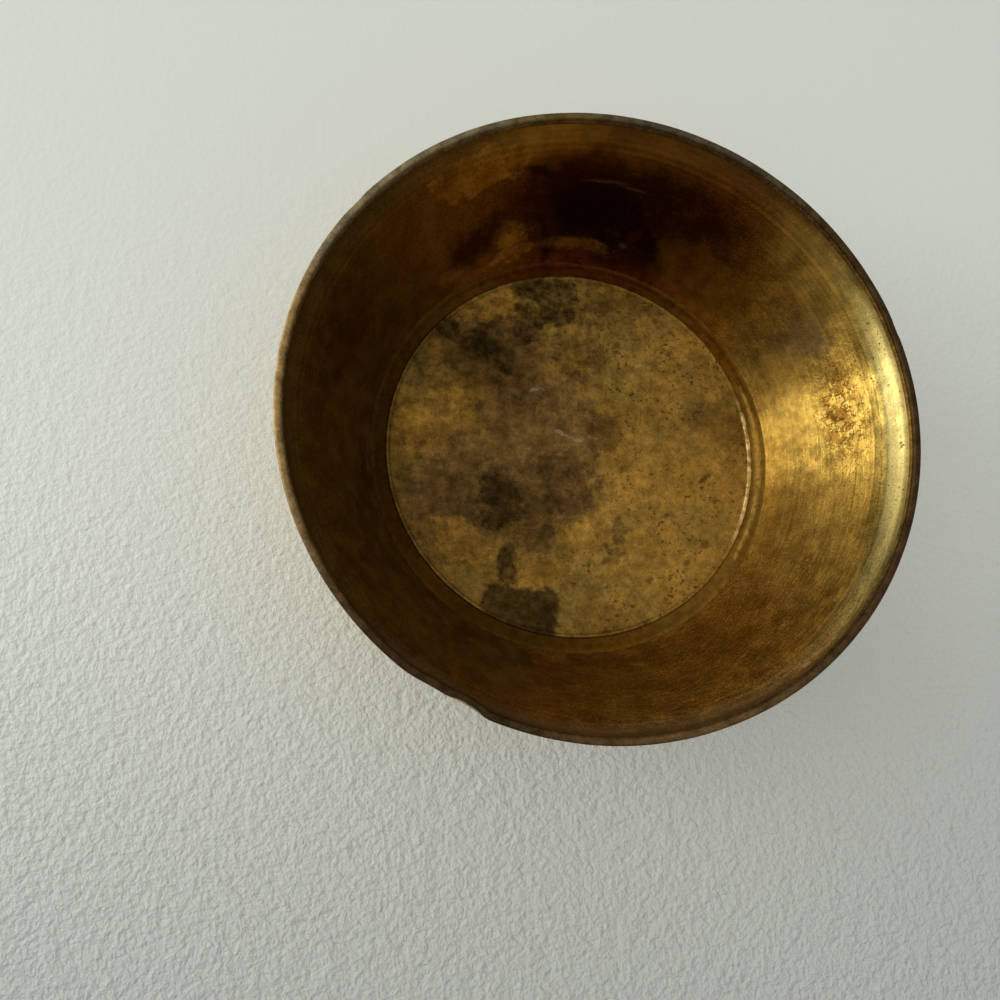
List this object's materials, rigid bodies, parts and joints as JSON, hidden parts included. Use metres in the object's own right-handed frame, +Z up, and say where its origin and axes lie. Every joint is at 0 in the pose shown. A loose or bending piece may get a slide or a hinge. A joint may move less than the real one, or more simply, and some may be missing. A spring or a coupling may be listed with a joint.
{
  "type": "offering bowl",
  "caption": "Small flared brass offering bowl with a rounded lip, a flat soldered-in floor and a low foot ring, for water, rice, flowers or a light.",
  "frame": {"origin": "centre of the foot ring, on the surface that the bowl stands on", "axes": "+Z up along the bowl's axis, out of its mouth; +X to the right and +Y away in the picture"},
  "size_m": [0.08, 0.08, 0.027],
  "materials": {
    "wall_brass": "turned, satin, brown tarnish with dark stains",
    "floor_brass": "satin, mottled and speckled tarnish",
    "foot_brass": "turned, satin, worn bright where it stands",
    "solder": "hand-run hard solder, uneven, dark in the hollows"
  },
  "bodies": {
    "root": {"side_wall": "wall_brass", "floor_disc": "floor_brass", "floor_solder_seam": "solder", "foot_ring": "foot_brass", "foot_solder_seam": "solder"}
  },
  "joints": []
}
